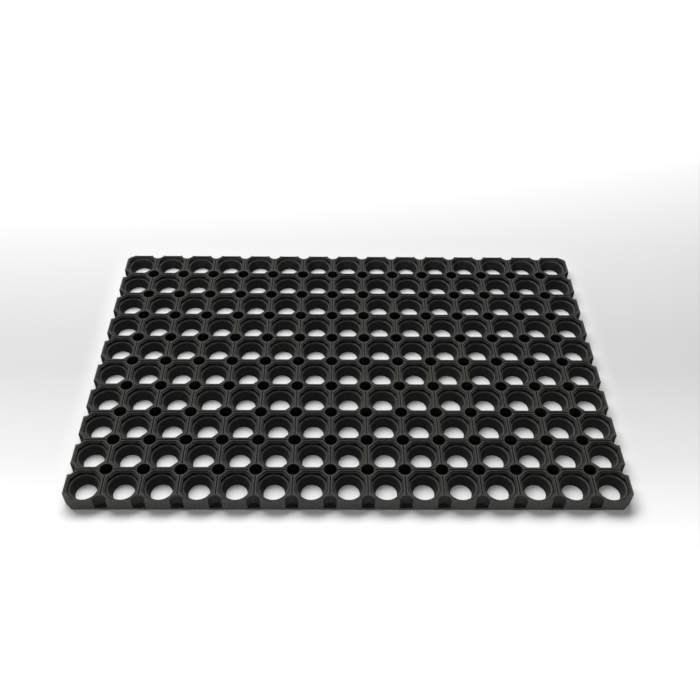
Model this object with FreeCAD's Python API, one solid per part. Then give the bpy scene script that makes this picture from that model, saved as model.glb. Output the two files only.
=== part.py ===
import FreeCAD, Part
import math
import os

# Rubber ring door mat, millimetres.
# +X runs along the long side, +Y away from the front edge, +Z up.
# The origin is the middle of the underside, on the floor.
#
# The mat is a grid of square cells. Each cell is a funnel-shaped drain hole under
# a stepped octagonal rim, and a blind round cup stands at each cell corner. A
# narrow groove runs along every cell border between the cups, and the mat
# flexes along the grooves that cross it from side to side.

# Grid
PITCH = 40.0
COLUMNS = 15
ROWS = 10
LENGTH = COLUMNS * PITCH
WIDTH = ROWS * PITCH

# Heights above the floor
TOP_Z = 17.0
TREAD_Z = TOP_Z - 1.1
GROOVE_FLOOR_Z = TOP_Z - 3.0
LEDGE_Z = TOP_Z - 4.4
LIP_Z = TOP_Z - 5.8
BORDER_Z = TOP_Z - 1.4
SCOOP_Z = TOP_Z - 8.2
CUP_FLOOR_Z = 3.0

# Octagonal openings: half the distance across the sides and across the corners
RIM_HALF = 18.0
RIM_HALF_DIAGONAL = 19.1
RISER_HALF = 16.2
RISER_HALF_DIAGONAL = 17.0

# Drain hole radii: at the top of the funnel, at its lower lip and at the floor
FUNNEL_R = 16.1
LIP_R = 14.7
FLOOR_R = 11.4

# Corner cups
CUP_BORE_R = 7.1
CUP_R = 8.4

# Front and back borders. A round scoop thins the border wall beside each border
# cell, and the wall's top is lowered over a strip a little wider than the wall.
BORDER_WALL = 1.7
LOW_BORDER = 2.3
SCOOP_TOP_R = PITCH / 2 - BORDER_WALL
SCOOP_BOTTOM_R = 13.2
SCOOP_DEPTH = PITCH / 4
CORNER_CHAMFER = 8.6

# Gaps
GROOVE_HALF = 0.4
FLEX_GAP = 0.1
CUP_GAP = 0.05
MOVING_CUP_GAP = 0.3

# Extra reach of a cutting tool past the face it cuts
OVERSHOOT = 1.0


def box(x0, x1, y0, y1, z0, z1):
    return Part.makeBox(x1 - x0, y1 - y0, z1 - z0, FreeCAD.Vector(x0, y0, z0))


def cylinder(radius, x, y, z0, z1):
    return Part.makeCylinder(radius, z1 - z0, FreeCAD.Vector(x, y, z0))


def cone(lower_radius, upper_radius, x, y, z0, z1):
    return Part.makeCone(lower_radius, upper_radius, z1 - z0, FreeCAD.Vector(x, y, z0))


def octagon_prism(half, half_diagonal, x, y, z0, z1):
    """Upright octagonal prism with four long and four corner sides."""
    reach = half_diagonal * math.sqrt(2) - half
    quarter = [(half, -reach), (half, reach)]
    points = []
    for turn in range(4):
        cos_turn, sin_turn = [(1, 0), (0, 1), (-1, 0), (0, -1)][turn]
        for px, py in quarter:
            points.append(FreeCAD.Vector(x + px * cos_turn - py * sin_turn,
                                         y + px * sin_turn + py * cos_turn, z0))
    outline = Part.makePolygon(points + points[:1])
    return Part.Face(outline).extrude(FreeCAD.Vector(0, 0, z1 - z0))


def line_y(line):
    """Y of a cross line: 0 is the front edge, ROWS is the back edge."""
    return -WIDTH / 2 + line * PITCH


def line_x(line):
    """X of a lengthwise line: 0 is the left edge, COLUMNS is the right edge."""
    return -LENGTH / 2 + line * PITCH


def cell_centres(row):
    y = line_y(row - 0.5)
    return [(line_x(column + 0.5), y) for column in range(COLUMNS)]


def is_mat_corner(x_line, y_line):
    return x_line in (0, COLUMNS) and y_line in (0, ROWS)


def cups_on_line(y_line):
    """Centres of the cups on one cross line. The mat's own corners have none."""
    x_lines = [line for line in range(COLUMNS + 1) if not is_mat_corner(line, y_line)]
    return [(line_x(line), line_y(y_line)) for line in x_lines]


def cup_spaces(row, z0, z1):
    """The round spaces that a row leaves for the cups on its two lines."""
    front_gap = CUP_GAP if row == 1 else MOVING_CUP_GAP
    tools = []
    for x, y in cups_on_line(row - 1):
        tools.append(cylinder(CUP_R + front_gap, x, y, z0, z1))
    for x, y in cups_on_line(row):
        tools.append(cylinder(CUP_R + CUP_GAP, x, y, z0, z1))
    return tools


def corner_chamfers():
    """Prisms that cut the four upright corners of the mat."""
    tools = []
    for sx in (-1, 1):
        for sy in (-1, 1):
            x = sx * LENGTH / 2
            y = sy * WIDTH / 2
            points = [FreeCAD.Vector(x - sx * CORNER_CHAMFER, y, -OVERSHOOT),
                      FreeCAD.Vector(x, y - sy * CORNER_CHAMFER, -OVERSHOOT),
                      FreeCAD.Vector(x + sx * OVERSHOOT, y - sy * CORNER_CHAMFER, -OVERSHOOT),
                      FreeCAD.Vector(x + sx * OVERSHOOT, y + sy * OVERSHOOT, -OVERSHOOT),
                      FreeCAD.Vector(x - sx * CORNER_CHAMFER, y + sy * OVERSHOOT, -OVERSHOOT)]
            face = Part.Face(Part.makePolygon(points + points[:1]))
            tools.append(face.extrude(FreeCAD.Vector(0, 0, TOP_Z + 2 * OVERSHOOT)))
    return tools


def low_borders():
    """Strips that lower the top of the front and back border walls."""
    half = WIDTH / 2
    reach = LENGTH / 2 + OVERSHOOT
    front = box(-reach, reach, -half - OVERSHOOT, -half + LOW_BORDER, BORDER_Z, TOP_Z + OVERSHOOT)
    back = box(-reach, reach, half - LOW_BORDER, half + OVERSHOOT, BORDER_Z, TOP_Z + OVERSHOOT)
    return [front, back]


def border_scoops(row):
    """Round recesses, widening upwards, in the border wall beside each border cell."""
    if row not in (1, ROWS):
        return []
    side = -1 if row == 1 else 1
    tools = []
    for x, y in cell_centres(row):
        flare = cone(SCOOP_BOTTOM_R, SCOOP_TOP_R, x, y, SCOOP_Z, BORDER_Z)
        disc = cylinder(SCOOP_TOP_R, x, y, BORDER_Z, TOP_Z + OVERSHOOT)
        near, far = sorted((y + side * SCOOP_DEPTH, y + side * PITCH))
        keep = box(x - PITCH / 2, x + PITCH / 2, near, far, 0, 2 * TOP_Z)
        tools.append(flare.fuse(disc).common(keep))
    return tools


def row_faces(row, gap):
    """Front and back Y of a row, set back from the lines it flexes along."""
    front = line_y(row - 1) + (0 if row == 1 else gap)
    back = line_y(row) - (0 if row == ROWS else gap)
    return front, back


def base_row(row):
    """Lower part of a row: a thick strip with one funnel-shaped hole in each cell."""
    front, back = row_faces(row, FLEX_GAP)
    strip = box(-LENGTH / 2, LENGTH / 2, front, back, 0, LEDGE_Z)
    taper = OVERSHOOT * (LIP_R - FLOOR_R) / LIP_Z
    flare = OVERSHOOT * (FUNNEL_R - LIP_R) / (LEDGE_Z - LIP_Z)
    tools = cup_spaces(row, -OVERSHOOT, LEDGE_Z + OVERSHOOT)
    for x, y in cell_centres(row):
        tools.append(cone(FLOOR_R - taper, LIP_R, x, y, -OVERSHOOT, LIP_Z))
        tools.append(cone(LIP_R, FUNNEL_R + flare, x, y, LIP_Z, LEDGE_Z + OVERSHOOT))
    if row in (1, ROWS):
        tools += corner_chamfers() + border_scoops(row)
    return strip.cut(tools)


def rim_row(row):
    """Upper part of a row: stepped octagonal rims with a groove between neighbours."""
    front, back = row_faces(row, FLEX_GAP)
    groove_front, groove_back = row_faces(row, GROOVE_HALF)
    strip = box(-LENGTH / 2, LENGTH / 2, front, back, LEDGE_Z, GROOVE_FLOOR_Z)
    rims = box(-LENGTH / 2, LENGTH / 2, groove_front, groove_back, GROOVE_FLOOR_Z, TOP_Z)
    above = TOP_Z + OVERSHOOT
    tools = cup_spaces(row, LEDGE_Z - OVERSHOOT, above)
    for x, y in cell_centres(row):
        tools.append(octagon_prism(RISER_HALF, RISER_HALF_DIAGONAL, x, y, LEDGE_Z - OVERSHOOT, above))
        tools.append(octagon_prism(RIM_HALF, RIM_HALF_DIAGONAL, x, y, TREAD_Z, above))
    for line in range(1, COLUMNS):
        x = line_x(line)
        tools.append(box(x - GROOVE_HALF, x + GROOVE_HALF, front - OVERSHOOT, back + OVERSHOOT,
                         GROOVE_FLOOR_Z, above))
    if row in (1, ROWS):
        tools += corner_chamfers() + low_borders() + border_scoops(row)
    return strip.fuse(rims).removeSplitter().cut(tools)


def cups(y_line):
    """The blind cups on one cross line, trimmed flush with the mat's edges."""
    mat = box(-LENGTH / 2, LENGTH / 2, -WIDTH / 2, WIDTH / 2, -OVERSHOOT, TOP_Z + OVERSHOOT)
    solids = []
    for x, y in cups_on_line(y_line):
        wall = cylinder(CUP_R, x, y, 0, TOP_Z)
        cup = wall.cut(cylinder(CUP_BORE_R, x, y, CUP_FLOOR_Z, TOP_Z + OVERSHOOT))
        if abs(x) == LENGTH / 2 or y_line in (0, ROWS):
            cup = cup.common(mat)
        if y_line in (0, ROWS):
            cup = cup.cut(low_borders())
        solids.extend(cup.Solids)
    return Part.makeCompound(solids)


def save(name, shape):
    solids = shape.Solids
    if not all(solid.isValid() for solid in solids):
        raise ValueError("invalid solid in " + name)
    single = solids[0] if len(solids) == 1 else Part.makeCompound(solids)
    single.exportStep(os.path.join("parts", name + ".step"))
    volume = sum(solid.Volume for solid in solids)
    print("%-22s %3d solids %10.0f mm3" % (name, len(solids), volume))
    return volume


def main():
    os.makedirs("parts", exist_ok=True)
    total = 0.0
    for row in range(1, ROWS + 1):
        total += save("base_row_%02d" % row, base_row(row))
        total += save("rim_row_%02d" % row, rim_row(row))
    total += save("cups_front_edge", cups(0))
    for line in range(1, ROWS):
        total += save("cups_line_%02d" % line, cups(line))
    total += save("cups_back_edge", cups(ROWS))
    print("total volume %.0f mm3" % total)


main()
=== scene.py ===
import math

import bmesh
import bpy
import numpy as np
from mathutils import Matrix


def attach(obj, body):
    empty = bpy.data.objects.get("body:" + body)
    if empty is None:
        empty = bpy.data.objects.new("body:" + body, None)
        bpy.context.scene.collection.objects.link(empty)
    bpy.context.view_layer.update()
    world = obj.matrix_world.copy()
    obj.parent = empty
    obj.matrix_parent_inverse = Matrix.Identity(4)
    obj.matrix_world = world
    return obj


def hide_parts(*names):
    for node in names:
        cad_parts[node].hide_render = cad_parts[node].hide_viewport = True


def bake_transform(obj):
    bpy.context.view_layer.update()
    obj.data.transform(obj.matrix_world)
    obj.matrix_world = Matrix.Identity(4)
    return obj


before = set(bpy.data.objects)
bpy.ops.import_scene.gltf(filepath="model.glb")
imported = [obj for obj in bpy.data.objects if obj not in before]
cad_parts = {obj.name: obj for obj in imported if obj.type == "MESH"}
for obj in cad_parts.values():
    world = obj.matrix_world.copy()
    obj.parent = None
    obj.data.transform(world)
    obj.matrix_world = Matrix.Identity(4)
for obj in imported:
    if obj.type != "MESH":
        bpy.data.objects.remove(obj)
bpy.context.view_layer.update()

# Rubber ring door mat. Lengths here are millimetres and are scaled to metres
# when a mesh is made. The mat is one moulding, so its visual pieces are cut
# along the middles of the cell rows, and each piece spans one groove.

MM = 0.001

# Grid
PITCH = 40.0
HALF_PITCH = PITCH / 2
COLUMNS = 15
ROWS = 10
HALF_LENGTH = COLUMNS * PITCH / 2
HALF_WIDTH = ROWS * PITCH / 2

# Heights above the floor
TOP_Z = 17.0
TREAD_Z = 15.9
GROOVE_Z = 14.0
LEDGE_Z = 12.6
CUP_FLOOR_Z = 3.0
BORDER_DROP = 1.4
SCOOP_Z = 8.8

# Octagonal openings (half across the sides, half across the corners)
RIM = (18.0, 19.1)
RISER = (16.2, 17.0)
OCTAGON_SHARPNESS = 60

# Drain hole: a wide funnel over a slightly tapered bore
FUNNEL_R = 16.1
LIP_R = 14.7
LIP_Z = 11.2
FLOOR_R = 11.4
FUNNEL_SLOPE = (FUNNEL_R - LIP_R) / (LEDGE_Z - LIP_Z)
HOLE_SLOPE = (LIP_R - FLOOR_R) / LIP_Z

# Cups. The fillet is the inset and height of points round the foot of the bore.
CUP_R = 8.4
CUP_BORE_R = 7.1
CUP_BORE_DRAFT = 0.05
CUP_FLOOR_R = 6.8
CUP_FILLET = [(0.0, 0.8), (0.25, 0.2), (0.9, 0.0)]
CUP_SEGMENTS = 48

# Grooves and borders
GROOVE_HALF = 0.6
CHAMFER = 8.6
DROP_START = HALF_WIDTH - 5.5
DROP_END = HALF_WIDTH - 0.8
BORDER_SETBACKS = (1.4, 2.2, 3.2, 4.4, 5.5)

# Round scoops in the border walls, which fade out towards the sides of the border cells
SCOOP_BOTTOM_R = 13.2
SCOOP_TOP_R = 18.3
SCOOP_EDGE_R = 18.6
SCOOP_SLOPE = (SCOOP_TOP_R - SCOOP_BOTTOM_R) / (TOP_Z - BORDER_DROP - SCOOP_Z)
SCOOP_MEETS_HOLE_Z = 10.54
SCOOP_FADE_START = math.radians(28)
SCOOP_FADE_END = math.radians(45)

# Rounding of the moulded edges. Each has one point between its ends, at this share of its size.
ROUND_MIDDLE = 0.3
LAND_ROUND = 0.35
TREAD_ROUND = 0.28
BORDER_ROUND = 1.1
BORDER_ROUND_FADE = 0.3
LIP_ROUND = 0.35
FOOT_ROUND = 0.35
BORE_ROUND = 0.25
CUP_ROUND = 0.4
TREAD_FILLET = 0.1

# Least distance between two loops of points that would otherwise meet
LOOP_GAP = 0.05

# Angles that each eighth of a cell is divided at
CUP_START = math.atan2(HALF_PITCH - CUP_R, HALF_PITCH)
SIDE_STEPS = 6
CORNER_STEPS = 4
ANGLES = np.concatenate([
    np.linspace(0, CUP_START, SIDE_STEPS + 1),
    np.linspace(CUP_START, math.pi / 4, CORNER_STEPS + 1)[1:],
])
COS = np.cos(ANGLES)
SIN = np.sin(ANGLES)
COS_DIAGONAL = np.cos(math.pi / 4 - ANGLES)
SIN_DIAGONAL = np.sin(math.pi / 4 - ANGLES)

# Corners that agree to this many decimals are one corner
MERGE_DIGITS = 4

# Edges sharper than this stay sharp in the shading
SHARP_ANGLE = math.radians(40)

# Zones of the rubber's material: each pair is where a soft border starts and ends
LAND_ZONE = (TOP_Z - 0.5, TOP_Z - 0.1)
TREAD_ZONE = (TREAD_Z - 0.3, TREAD_Z - 0.1)
LEDGE_BOTTOM = (LIP_Z - 0.15, LIP_Z + 0.25)
LEDGE_TOP = (LEDGE_Z + 0.05, LEDGE_Z + 0.3)
HOLE_TOP = (LIP_Z - 0.1, LIP_Z + 0.1)
HOLE_EDGE = (FUNNEL_R + 0.1, FUNNEL_R + 0.3)
END_FACE = (HALF_WIDTH - 0.9, HALF_WIDTH - 0.3)
END_WALL = (HALF_WIDTH - 9, HALF_WIDTH - 7)
SOILED_ENDS = (215.0, 300.0)
SOILED_FRONT = (-200.0, 60.0)

# How much further from the cell's middle a point is along Y than along X, from a rim that runs
# lengthwise to one that runs crosswise
CROSSWISE = (-1.0, 5.0)

# Wear by zone, with painted shade and painted light. Pairs are for the parts of a rim that run
# lengthwise and crosswise; the lower crosswise values are painted shade, and the end face and end
# wall values are painted light.
LAND_WEAR_AND_SHADE = (1.20, 0.60)
TREAD_WEAR_AND_SHADE = (0.24, 0.0)
END_FACE_PAINTED_LIGHT = 0.55
END_WALL_PAINTED_LIGHT = 0.25
FILM = 0.10

# Noise over the rubber: features per millimetre, detail and roughness
PATCHES = (0.012, 2.0)
MOTTLE = (0.30, 4.0, 0.65)
SMEAR = (0.9, 3.0, 0.6)
GRAIN = (2.6, 3.0, 0.6)
SPECKS = (0.8, 2.0, 0.5)

# Surface of the rubber. Wear adds to the roughness, and the bump is in metres.
ROUGHNESS = 0.60
WORN_ROUGHNESS = 0.08
SPECULAR_LEVEL = 0.08
BUMP_STRENGTH = 0.35
BUMP_HEIGHT = 0.00025

# Colours of the rubber, its wear and the dirt on it, and two painted light tones: one for the hole
# walls, and a light grey for the ledges, end faces and end walls
DARK = (0.0075, 0.0075, 0.0078, 1)
WORN = (0.050, 0.0495, 0.0475, 1)
# Painted light on the hole walls, lighter than the dark rubber
HOLE_WALL_LIGHT = (0.0165, 0.0165, 0.0168, 1)
# Painted light grey: a painted highlight on the ledges and painted light on the end faces and end
# walls
PAINTED_LIGHT_GREY = (0.064, 0.063, 0.060, 1)
BROWN = (0.052, 0.0475, 0.034, 1)
LINT = (0.15, 0.145, 0.135, 1)

# Lightness of the floor at distances along Y, in metres, and in the painted pool of light that the
# mat lies in
FLOOR_TONES = [
    (-0.275, 0.86), (-0.129, 0.625), (0.0, 0.50), (0.06, 0.495),
    (0.25, 0.56), (0.45, 0.66), (0.60, 0.86),
]
FLOOR_PAINTED_POOL = 0.74
PAINTED_POOL_X = (0.285, 0.330)
PAINTED_POOL_Y = (0.150, 0.250)
FLOOR_HALF_SIZE = 6.0
FLOOR_DROP = 0.0001

# Lights, in metres and watts. The key leans back from upright over the mat.
KEY_X = -0.55
KEY_LEAN = math.radians(33)
KEY_REACH = 2.4
KEY_SIZE = (2.9, 1.25)
KEY_ENERGY = 111
FILL_PLACE = (0.3, -1.75, 1.45)
FILL_SIZE = (2.6, 0.9)
FILL_ENERGY = 13
CARD_PLACE = (0.0, -0.46, 0.007)
CARD_SIZE = (1.6, 0.012)
CARD_ENERGY = 1.1
WORLD_STRENGTH = 0.14

# Camera, in metres and degrees
CAMERA_ELEVATION = 45.814
CAMERA_AZIMUTH = -1.139
CAMERA_ROLL = 1.018
CAMERA_TARGET = (0.0023, 0.0187)
CAMERA_DISTANCE = 1.0062
CAMERA_LENS = 42.215
SENSOR_WIDTH = 36.0
CLIP_START = 0.01


# ---------------------------------------------------------------- cell loops

def smooth(t):
    t = np.clip(t, 0, 1)
    return t * t * (3 - 2 * t)


def octagon(half, half_diagonal):
    """Radius of an octagon with slightly rounded corners, at each angle."""
    p = OCTAGON_SHARPNESS
    return ((COS / half) ** p + (COS_DIAGONAL / half_diagonal) ** p) ** (-1 / p)


def circle(radius):
    return np.full_like(ANGLES, radius)


def outline(side, corner, cup_r=CUP_R, inset=0.0):
    """Radius of a cell's outer edge: a straight side, then a cup or a chamfer."""
    straight = side / COS
    if corner == "cup":
        centre = HALF_PITCH * math.sqrt(2)
        reach = np.maximum(cup_r ** 2 - (centre * SIN_DIAGONAL) ** 2, 0)
        cut = centre * COS_DIAGONAL - np.sqrt(reach)
    else:
        cut = ((2 * HALF_PITCH - CHAMFER) / math.sqrt(2) - inset) / COS_DIAGONAL
    cut = np.minimum(cut, straight)
    if corner == "cup":
        cut = np.where(np.arange(len(ANGLES)) > SIDE_STEPS, cut, straight)
    return cut


def scoop_share(side, near_border):
    """How far the border's scoop replaces the rim's own shape, 0 to 1, at each angle."""
    if side == "border":
        return np.ones_like(ANGLES)
    if near_border:
        return smooth((ANGLES - SCOOP_FADE_START) / (SCOOP_FADE_END - SCOOP_FADE_START))
    return np.zeros_like(ANGLES)


def rim_loops(side, corner, near_border):
    """Upper zone of one eighth of a cell, from its outer foot over the rim to its inner foot."""
    half = HALF_PITCH - GROOVE_HALF if side == "groove" else HALF_PITCH
    scoop = scoop_share(side, near_border)
    riser_foot = octagon(*RISER)
    riser = riser_foot + (SCOOP_TOP_R - riser_foot) * scoop
    scoop_foot = SCOOP_BOTTOM_R + SCOOP_SLOPE * (LEDGE_Z - SCOOP_Z)
    riser_foot = riser_foot + (scoop_foot - riser_foot) * scoop
    rim = np.maximum(octagon(*RIM), riser + (SCOOP_EDGE_R - SCOOP_TOP_R))

    middle = ROUND_MIDDLE * LAND_ROUND
    soft = LAND_ROUND
    if side == "border":
        away_from_cup = smooth((CUP_START - ANGLES) / (BORDER_ROUND_FADE * CUP_START))
        soft = LAND_ROUND + (BORDER_ROUND - LAND_ROUND) * away_from_cup
    edge = outline(half, corner)
    edge_middle = outline(half - ROUND_MIDDLE * soft, corner, CUP_R + middle, middle)
    edge_in = outline(half - soft, corner, CUP_R + LAND_ROUND, LAND_ROUND)
    land_in = np.minimum(rim + LAND_ROUND, edge_in)
    loops = [
        (outline(HALF_PITCH, corner), LEDGE_Z),
        (outline(HALF_PITCH, corner), GROOVE_Z),
        (edge, GROOVE_Z),
        (edge, TOP_Z - soft),
        (edge_middle, TOP_Z - ROUND_MIDDLE * soft),
        (edge_in, TOP_Z),
    ]
    if side == "border" or corner == "chamfer":
        for setback in BORDER_SETBACKS:
            loops.append((np.clip((HALF_PITCH - setback) / COS, land_in, edge_in), TOP_Z))
    loops += [
        (land_in, TOP_Z),
        (rim + middle, TOP_Z - middle),
        (rim, TOP_Z - LAND_ROUND),
        (rim, TREAD_Z + TREAD_FILLET),
        (rim - TREAD_FILLET, TREAD_Z),
        (np.minimum(riser + TREAD_ROUND, rim - 1.2 * TREAD_FILLET), TREAD_Z),
        (riser + ROUND_MIDDLE * TREAD_ROUND, TREAD_Z - ROUND_MIDDLE * TREAD_ROUND),
        (riser, TREAD_Z - TREAD_ROUND),
        (riser_foot, LEDGE_Z),
    ]
    return loops


def base_loops(side, corner, near_border):
    """Lower zone of one eighth of a cell, from its outer top through the hole to its outer foot."""
    scoop = scoop_share(side, near_border)

    def wall(z):
        hole = FLOOR_R + HOLE_SLOPE * z if z < LIP_Z else LIP_R + FUNNEL_SLOPE * (z - LIP_Z)
        scooped = max(SCOOP_BOTTOM_R + SCOOP_SLOPE * (z - SCOOP_Z), hole)
        return hole + (scooped - hole) * scoop

    edge = outline(HALF_PITCH, corner)
    if side == "groove":
        foot = edge
    else:
        foot = outline(HALF_PITCH - FOOT_ROUND, corner, CUP_R, FOOT_ROUND)
    top = wall(LEDGE_Z)
    return [
        (edge, LEDGE_Z),
        (np.minimum(np.maximum(top + LOOP_GAP, octagon(*RISER)), edge), LEDGE_Z),
        (top, LEDGE_Z),
        (wall(LIP_Z + LIP_ROUND), LIP_Z + LIP_ROUND),
        (wall(LIP_Z) + LOOP_GAP, LIP_Z),
        (wall(SCOOP_MEETS_HOLE_Z), SCOOP_MEETS_HOLE_Z),
        (circle(FLOOR_R + HOLE_SLOPE * FOOT_ROUND * 2), FOOT_ROUND * 2),
        (circle(FLOOR_R + 0.25 * FOOT_ROUND), ROUND_MIDDLE * FOOT_ROUND),
        (circle(FLOOR_R + FOOT_ROUND), 0.0),
        (foot, 0.0),
        (edge, FOOT_ROUND),
        (edge, LEDGE_Z),
    ]


# ---------------------------------------------------------------- mesh maker

class Net:
    """Collects faces as corner coordinates and merges equal corners at the end."""

    def __init__(self):
        self.quads = []
        self.rings = []

    def add_grid(self, points, keep=None):
        """points: loops x steps x 3. keep: which faces to make, loops-1 x steps-1."""
        a, b = points[:-1, :-1], points[1:, :-1]
        c, d = points[1:, 1:], points[:-1, 1:]
        faces = np.stack([a, b, c, d], axis=2)
        faces = faces.reshape(-1, 4, 3) if keep is None else faces[keep]
        self.quads.append(faces)

    def add_ring(self, points):
        self.rings.append(np.asarray(points, float))

    def finish(self, name, shape_after):
        """Makes the mesh. Its rest_mm attribute keeps each point's place for the material."""
        quads = np.concatenate(self.quads)
        flat = quads.reshape(-1, 3)
        corners = np.concatenate([flat] + self.rings) if self.rings else flat
        keys = np.round(corners, MERGE_DIGITS) + 0.0
        unique, inverse = np.unique(keys, axis=0, return_inverse=True)
        inverse = inverse.reshape(-1)
        faces = []
        for corner_ids in inverse[:len(flat)].reshape(-1, 4).tolist():
            face = list(dict.fromkeys(corner_ids))
            if len(face) > 2:
                faces.append(face)
        at = len(flat)
        for ring in self.rings:
            face = list(dict.fromkeys(inverse[at:at + len(ring)].tolist()))
            at += len(ring)
            if len(face) > 2:
                faces.append(face)
        mesh = bpy.data.meshes.new(name)
        mesh.from_pydata((shape_after(unique) * MM).tolist(), [], faces)
        mesh.update()
        shell = bmesh.new()
        shell.from_mesh(mesh)
        bmesh.ops.recalc_face_normals(shell, faces=shell.faces[:])
        shell.to_mesh(mesh)
        shell.free()
        rest = mesh.attributes.new("rest_mm", "FLOAT_VECTOR", "POINT")
        rest.data.foreach_set("vector", unique.astype(np.float32).ravel())
        return mesh


def settle(points):
    """Lowers the front and back borders, where the rim tops are thinner."""
    out = points.copy()
    drop = smooth((np.abs(points[:, 1]) - DROP_START) / (DROP_END - DROP_START))
    above = np.clip(points[:, 2] - LEDGE_Z, 0, None) / (TOP_Z - LEDGE_Z)
    out[:, 2] -= drop * above * BORDER_DROP
    return out


def is_reversed(u, v):
    """Whether the angles from u to v run clockwise, so that their points go the other way round."""
    return u[0] * v[1] - u[1] * v[0] < 0


def place(loops, centre, u, v):
    """Turns loops of radius and height into points of one eighth of a cell."""
    radii = np.array([radius for radius, _ in loops])
    heights = np.array([np.broadcast_to(height, ANGLES.shape) for _, height in loops])
    a = radii * COS
    b = radii * SIN
    points = np.empty(radii.shape + (3,))
    points[..., 0] = centre[0] + a * u[0] + b * v[0]
    points[..., 1] = centre[1] + a * u[1] + b * v[1]
    points[..., 2] = heights
    return points[:, ::-1] if is_reversed(u, v) else points


def side_and_corner(column, row, u, v):
    """What lies beyond a cell's side u, and at its corner between u and v."""
    step_x = u[0] + v[0]
    step_y = u[1] + v[1]
    at_x = column == (1 if step_x < 0 else COLUMNS)
    at_y = row == (1 if step_y < 0 else ROWS)
    corner = "chamfer" if at_x and at_y else "cup"
    if u[0]:
        side = "edge" if at_x else "groove"
        return side, corner, at_y
    side = "border" if at_y else "groove"
    return side, corner, False


def half_cell(net_base, net_rim, column, row, half):
    """Adds the front half (-1) or the back half (+1) of one cell, an eighth at a time.

    Cells on each side of a groove meet under it, so the walls between them are left out.
    """
    centre = (-HALF_LENGTH + (column - 0.5) * PITCH, -HALF_WIDTH + (row - 0.5) * PITCH)
    beyond_side = np.arange(len(ANGLES) - 1) >= SIDE_STEPS
    left, right, out = (-1, 0), (1, 0), (0, half)
    for u, v in [(right, out), (out, right), (out, left), (left, out)]:
        side, corner, near_border = side_and_corner(column, row, u, v)
        flip = is_reversed(u, v)
        beyond = beyond_side[::-1] if flip else beyond_side

        rim = place(rim_loops(side, corner, near_border), centre, u, v)
        keep = np.ones((len(rim) - 1, len(beyond)), bool)
        if side == "groove":
            keep[0] = beyond
        net_rim.add_grid(rim, keep)
        net_rim.add_grid(rim[[-1, 0]])

        base = place(base_loops(side, corner, near_border), centre, u, v)
        keep = np.ones((len(base) - 1, len(beyond)), bool)
        if side == "groove":
            keep[-2:] = beyond
        net_base.add_grid(base, keep)

        # Caps on the cut along the middle of the row
        if u[1] == 0:
            at, order = (-1, 1) if flip else (0, -1)
            net_rim.add_ring(rim[:, at][::order])
            net_base.add_ring(base[:-1, at][::order])


# ---------------------------------------------------------------- cups

def cup_profile():
    """Radius and height round a cup's wall, from under its middle to its floor's middle."""
    outer = ROUND_MIDDLE * CUP_ROUND
    inner = ROUND_MIDDLE * BORE_ROUND
    under = [(0.0, 0.0), (CUP_R * 0.5, 0.0)]
    wall = [
        (CUP_R, 0.0),
        (CUP_R, LEDGE_Z),
        (CUP_R, TOP_Z - CUP_ROUND),
        (CUP_R - outer, TOP_Z - outer),
        (CUP_R - CUP_ROUND, TOP_Z),
        (CUP_BORE_R + BORE_ROUND, TOP_Z),
        (CUP_BORE_R + inner, TOP_Z - inner),
        (CUP_BORE_R, TOP_Z - BORE_ROUND),
        (CUP_BORE_R - CUP_BORE_DRAFT, LEDGE_Z),
    ]
    floor = [(CUP_FLOOR_R - inset, CUP_FLOOR_Z + height) for inset, height in CUP_FILLET]
    return under + wall + floor + [(0.0, CUP_FLOOR_Z)]


def add_cup(net, x, y):
    """Adds one cup, or the half of it that lies inside the mat's edge."""
    start, count = 0.0, CUP_SEGMENTS
    if abs(y) == HALF_WIDTH:
        start, count = (0.0 if y < 0 else math.pi), CUP_SEGMENTS // 2
    elif abs(x) == HALF_LENGTH:
        start, count = (-math.pi / 2 if x < 0 else math.pi / 2), CUP_SEGMENTS // 2
    turn = start + 2 * math.pi * np.arange(count + 1) / CUP_SEGMENTS
    profile = np.array(cup_profile())
    points = np.empty((len(profile), len(turn), 3))
    points[..., 0] = x + profile[:, :1] * np.cos(turn)
    points[..., 1] = y + profile[:, :1] * np.sin(turn)
    points[..., 2] = profile[:, 1:]
    if abs(y) == HALF_WIDTH:
        points[:, [0, -1], 1] = y
    if abs(x) == HALF_LENGTH:
        points[:, [0, -1], 0] = x
    net.add_grid(points[:, ::-1])
    if count < CUP_SEGMENTS:
        net.add_ring(np.concatenate([points[1:, 0], points[:-1, -1][::-1]]))


# ---------------------------------------------------------------- pieces

def finish_piece(net, name, material):
    mesh = net.finish(name, settle)
    mesh.materials.append(material)
    mesh.shade_smooth()
    mesh.set_sharp_from_angle(angle=SHARP_ANGLE)
    piece = bpy.data.objects.new(name, mesh)
    bpy.context.scene.collection.objects.link(piece)
    weighted = piece.modifiers.new("weighted normals", "WEIGHTED_NORMAL")
    weighted.keep_sharp = True
    return piece


def seat_piece(piece, line):
    """Fixes a piece to the row it lies in, or bakes its transform in place when it joins two rows.
    """
    if line == 0:
        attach(piece, "row_01")
    elif line == ROWS:
        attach(piece, "row_%02d" % ROWS)
    else:
        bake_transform(piece)


def rows_of(line):
    """The rows on each side of a cross line, with the half that lies next to it."""
    return [(row, half) for row, half in ((line, 1), (line + 1, -1)) if 1 <= row <= ROWS]


def cup_node(line):
    if line == 0:
        return "cups_front_edge"
    if line == ROWS:
        return "cups_back_edge"
    return "cups_line_%02d" % line


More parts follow.
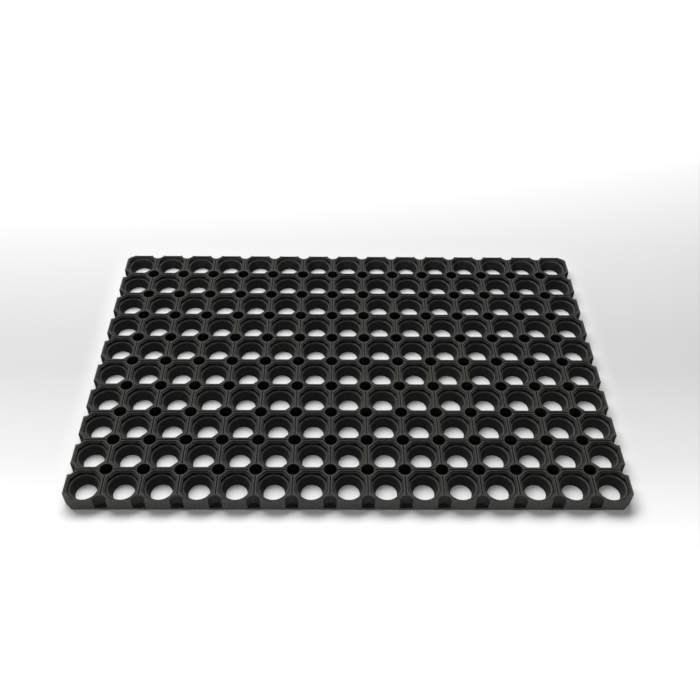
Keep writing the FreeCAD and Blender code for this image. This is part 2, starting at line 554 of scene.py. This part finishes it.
def make_strip(line, material):
    """Makes the base, the rims and the cups between the middles of the rows beside a cross line."""
    base, rim, cups = Net(), Net(), Net()
    for row, half in rows_of(line):
        for column in range(1, COLUMNS + 1):
            half_cell(base, rim, column, row, half)
    for x_line in range(COLUMNS + 1):
        if x_line in (0, COLUMNS) and line in (0, ROWS):
            continue
        add_cup(cups, -HALF_LENGTH + x_line * PITCH, -HALF_WIDTH + line * PITCH)
    rows = [row for row, _ in rows_of(line)]
    zones = [
        ("base_strip", base, ["base_row_%02d" % row for row in rows]),
        ("rim_strip", rim, ["rim_row_%02d" % row for row in rows]),
        ("cup_strip", cups, [cup_node(line)]),
    ]
    pieces = [(finish_piece(net, "%s_%02d" % (zone, line), material), nodes)
              for zone, net, nodes in zones]
    for piece, nodes in pieces:
        seat_piece(piece, line)
        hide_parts(*nodes)


# ---------------------------------------------------------------- materials

class Graph:
    """A material's node tree, with one call for each kind of node it needs."""

    def __init__(self, name):
        self.material = bpy.data.materials.new(name)
        self.material.use_nodes = True
        self.tree = self.material.node_tree
        self.tree.nodes.clear()

    def node(self, kind, **inputs):
        node = self.tree.nodes.new(kind)
        for key, value in inputs.items():
            self.feed(node, key, value)
        return node

    def feed(self, node, key, value):
        """Sets or links an input. A key is the socket's name, or _ and its number."""
        name = int(key[1:]) if key[0] == "_" else key.replace("_", " ")
        socket = node.inputs[name]
        if isinstance(value, bpy.types.NodeSocket):
            self.tree.links.new(value, socket)
        else:
            socket.default_value = value

    def math(self, operation, a, b=0.0, clamp=False):
        node = self.node("ShaderNodeMath", _0=a, _1=b)
        node.operation = operation
        node.use_clamp = clamp
        return node.outputs[0]

    def ramp(self, value, low, high, out_low=0.0, out_high=1.0):
        node = self.node("ShaderNodeMapRange", Value=value, From_Min=low, From_Max=high,
                         To_Min=out_low, To_Max=out_high)
        node.interpolation_type = "SMOOTHSTEP"
        return node.outputs["Result"]

    def noise(self, vector, scale, detail=3.0, roughness=0.55):
        node = self.node("ShaderNodeTexNoise", Vector=vector, Scale=scale, Detail=detail,
                         Roughness=roughness)
        return node.outputs["Fac"]

    def in_cell(self, position, half_size):
        """Distance along one axis from the middle of the cell."""
        from_edge = self.math("MODULO", self.math("ADD", position, half_size + PITCH), PITCH)
        return self.math("ABSOLUTE", self.math("SUBTRACT", from_edge, HALF_PITCH))

    def mix(self, factor, a, b):
        node = self.node("ShaderNodeMix")
        node.data_type = "RGBA"
        for key, value in (("_0", factor), ("_6", a), ("_7", b)):
            self.feed(node, key, value)
        return node.outputs[2]

    def times(self, a, b, clamp=False):
        return self.math("MULTIPLY", a, b, clamp)

    def absolute(self, value):
        return self.math("ABSOLUTE", value)


def rubber():
    """Black moulded rubber, dusty and worn on its upper faces, faintly brown in patches, with
    painted shade on the crosswise rims and treads, a painted highlight on the ledges and painted
    light on the hole walls and the ends.
    """
    g = Graph("black_rubber_moulded")
    rest = g.node("ShaderNodeAttribute")
    rest.attribute_name = "rest_mm"
    where = rest.outputs["Vector"]
    parts = g.node("ShaderNodeSeparateXYZ", Vector=where)
    height = parts.outputs["Z"]

    # Distances from the middle of the cell, along X, along Y and straight
    cell_x = g.in_cell(parts.outputs["X"], HALF_LENGTH)
    cell_y = g.in_cell(parts.outputs["Y"], HALF_WIDTH)
    squares = g.math("ADD", g.times(cell_x, cell_x), g.times(cell_y, cell_y))
    in_hole = g.ramp(g.math("SQRT", squares), *HOLE_EDGE, 1.0, 0.0)
    crosswise = g.ramp(g.math("SUBTRACT", cell_y, cell_x), *CROSSWISE)

    # Zones, by height and by distance from the front and back edges
    # Land and tread tones are part wear and part painted shade: treads are painted darker than
    # lands, and crosswise lands and treads darker still
    land_wear_and_shade = g.times(g.ramp(height, *LAND_ZONE), g.ramp(crosswise, 0.0, 1.0, *LAND_WEAR_AND_SHADE))
    tread_wear_and_shade = g.times(g.ramp(height, *TREAD_ZONE), g.ramp(crosswise, 0.0, 1.0, *TREAD_WEAR_AND_SHADE))
    upper_wear_and_shade = g.math("MAXIMUM", land_wear_and_shade, tread_wear_and_shade)
    # Painted highlight: the ledge ring round each hole is painted light grey
    ledge_highlight = g.times(g.ramp(height, *LEDGE_BOTTOM), g.ramp(height, *LEDGE_TOP, 1.0, 0.0))
    ledge_highlight = g.times(ledge_highlight, in_hole)
    # Painted light: the walls of the holes are painted lighter
    wall = g.times(g.ramp(height, *HOLE_TOP, 1.0, 0.0), in_hole)
    from_middle = g.absolute(parts.outputs["Y"])
    end_face = g.ramp(from_middle, *END_FACE)
    end_wall = g.times(g.ramp(from_middle, *END_WALL), g.math("SUBTRACT", 1.0, land_wear_and_shade, clamp=True))
    # Painted light: the end faces and the walls of the end cells are painted light grey
    faces = g.math("MAXIMUM", g.times(end_face, END_FACE_PAINTED_LIGHT), g.times(end_wall, END_WALL_PAINTED_LIGHT))

    patches = g.noise(where, *PATCHES)
    mottle = g.noise(where, *MOTTLE)
    smear = g.noise(where, *SMEAR)
    grain = g.noise(where, *GRAIN)
    specks = g.noise(where, *SPECKS)

    # Wear on the upper faces, part of it painted shade; a painted highlight on the ledges; painted
    # light on the hole walls, end faces and end walls
    uneven = g.times(g.ramp(mottle, 0.25, 0.75, 0.55, 1.35), g.ramp(smear, 0.3, 0.7, 0.8, 1.2))
    wear_and_shade = g.times(upper_wear_and_shade, uneven, clamp=True)
    film = g.times(g.ramp(mottle, 0.45, 0.75), FILM)
    colour = g.mix(g.math("ADD", wear_and_shade, film, clamp=True), DARK, WORN)
    colour = g.mix(g.times(ledge_highlight, uneven, clamp=True), colour, PAINTED_LIGHT_GREY)
    colour = g.mix(g.times(wall, g.ramp(mottle, 0.25, 0.75, 0.7, 1.0)), colour, HOLE_WALL_LIGHT)
    colour = g.mix(g.times(faces, uneven, clamp=True), colour, PAINTED_LIGHT_GREY)

    # Brown patches, and more brown near the ends and the front
    near_ends = g.times(g.ramp(g.absolute(parts.outputs["X"]), *SOILED_ENDS),
                        g.ramp(parts.outputs["Y"], *SOILED_FRONT, 1.0, 0.35))
    soiled = g.math("MAXIMUM", g.ramp(patches, 0.50, 0.66), near_ends)
    browned = g.times(soiled, g.ramp(mottle, 0.35, 0.7, 0.30, 0.85))
    on_top = g.math("ADD", g.times(upper_wear_and_shade, 0.8), 0.2)
    colour = g.mix(g.times(browned, on_top), colour, BROWN)

    # Lint
    colour = g.mix(g.times(g.ramp(specks, 0.73, 0.80), g.times(land_wear_and_shade, 0.4)), colour, LINT)

    rough = g.math("ADD", g.times(wear_and_shade, WORN_ROUGHNESS), ROUGHNESS)
    relief = g.math("ADD", g.times(grain, 0.6), mottle)
    bump = g.node("ShaderNodeBump", Strength=BUMP_STRENGTH, Distance=BUMP_HEIGHT, Height=relief)
    shader = g.node("ShaderNodeBsdfPrincipled", Base_Color=colour, Roughness=rough,
                    Normal=bump.outputs["Normal"])
    shader.inputs["IOR"].default_value = 1.5
    shader.inputs["Specular IOR Level"].default_value = SPECULAR_LEVEL
    g.node("ShaderNodeOutputMaterial", Surface=shader.outputs["BSDF"])
    return g.material


def floor_material():
    """White paper, greyer in a broad soft band level with the mat, and lighter under and round the
    mat itself, where a pool of light is painted.
    """
    g = Graph("studio_floor")
    where = g.node("ShaderNodeTexCoord").outputs["Object"]
    parts = g.node("ShaderNodeSeparateXYZ", Vector=where)
    x, y = parts.outputs["X"], parts.outputs["Y"]
    first, last = FLOOR_TONES[0][0], FLOOR_TONES[-1][0]
    along = g.node("ShaderNodeMapRange", Value=y, From_Min=first, From_Max=last).outputs["Result"]
    band = g.node("ShaderNodeValToRGB", Fac=along)
    stops = band.color_ramp.elements
    while len(stops) < len(FLOOR_TONES):
        stops.new(0.5)
    for stop, (at, tone) in zip(stops, FLOOR_TONES):
        stop.position = (at - first) / (last - first)
        stop.color = (tone, tone, tone, 1)
    # Painted pool of light: the floor under and round the mat is painted lighter
    painted_pool = g.times(g.ramp(g.absolute(x), *PAINTED_POOL_X, 1.0, 0.0),
                   g.ramp(g.absolute(y), *PAINTED_POOL_Y, 1.0, 0.0))
    colour = g.mix(painted_pool, band.outputs["Color"], (FLOOR_PAINTED_POOL, FLOOR_PAINTED_POOL, FLOOR_PAINTED_POOL, 1))
    shader = g.node("ShaderNodeBsdfPrincipled", Base_Color=colour)
    shader.inputs["Roughness"].default_value = 0.9
    shader.inputs["Specular IOR Level"].default_value = 0.0
    g.node("ShaderNodeOutputMaterial", Surface=shader.outputs["BSDF"])
    return g.material


# ---------------------------------------------------------------- stage

def make_floor():
    size = FLOOR_HALF_SIZE
    mesh = bpy.data.meshes.new("floor")
    corners = [(-size, -size, 0), (size, -size, 0), (size, size, 0), (-size, size, 0)]
    mesh.from_pydata(corners, [], [(0, 1, 2, 3)])
    mesh.materials.append(floor_material())
    floor = bpy.data.objects.new("floor", mesh)
    floor.location = (0, 0, -FLOOR_DROP)
    bpy.context.scene.collection.objects.link(floor)


def add_area(name, location, aim, size, energy):
    """Adds a rectangular light that faces a point, with its sides level."""
    light = bpy.data.lights.new(name, "AREA")
    light.shape = "RECTANGLE"
    light.size, light.size_y = size
    light.energy = energy
    lamp = bpy.data.objects.new(name, light)
    bpy.context.scene.collection.objects.link(lamp)
    back = np.array(location, float) - np.array(aim, float)
    back /= np.linalg.norm(back)
    right = np.cross((0, 0, 1), back)
    right /= np.linalg.norm(right)
    up = np.cross(back, right)
    turn = Matrix([right.tolist(), up.tolist(), back.tolist()]).transposed()
    lamp.matrix_world = Matrix.Translation(location) @ turn.to_4x4()
    return lamp


def make_lights():
    middle = (0, 0, 0)
    key_place = (KEY_X, KEY_REACH * math.sin(KEY_LEAN), KEY_REACH * math.cos(KEY_LEAN))
    add_area("key", key_place, middle, KEY_SIZE, KEY_ENERGY)
    add_area("fill", FILL_PLACE, middle, FILL_SIZE, FILL_ENERGY)
    card_aim = (0, 0, CARD_PLACE[2])
    card = add_area("low_front_card", CARD_PLACE, card_aim, CARD_SIZE, CARD_ENERGY)
    card.visible_camera = False
    world = bpy.data.worlds.new("studio")
    world.use_nodes = True
    background = world.node_tree.nodes["Background"]
    background.inputs["Color"].default_value = (1, 1, 1, 1)
    background.inputs["Strength"].default_value = WORLD_STRENGTH
    bpy.context.scene.world = world


def make_camera():
    elevation = math.radians(CAMERA_ELEVATION)
    azimuth = math.radians(CAMERA_AZIMUTH)
    roll = math.radians(CAMERA_ROLL)
    target = np.array([*CAMERA_TARGET, TOP_Z * MM])
    back = np.array([
        math.sin(azimuth) * math.cos(elevation),
        -math.cos(azimuth) * math.cos(elevation),
        math.sin(elevation),
    ])
    level_right = np.array([math.cos(azimuth), math.sin(azimuth), 0.0])
    level_up = np.cross(back, level_right)
    right = math.cos(roll) * level_right + math.sin(roll) * level_up
    up = np.cross(back, right)
    data = bpy.data.cameras.new("camera")
    data.lens = CAMERA_LENS
    data.sensor_width = SENSOR_WIDTH
    data.dof.use_dof = False
    data.clip_start = CLIP_START
    camera = bpy.data.objects.new("camera", data)
    turn = Matrix([right.tolist(), up.tolist(), back.tolist()]).transposed()
    place_at = Matrix.Translation((target + back * CAMERA_DISTANCE).tolist())
    camera.matrix_world = place_at @ turn.to_4x4()
    bpy.context.scene.collection.objects.link(camera)
    bpy.context.scene.camera = camera


# ---------------------------------------------------------------- scene

make_camera()
rubber_material = rubber()
for strip_line in range(ROWS + 1):
    make_strip(strip_line, rubber_material)
make_floor()
make_lights()
bpy.context.scene.view_settings.view_transform = "Standard"
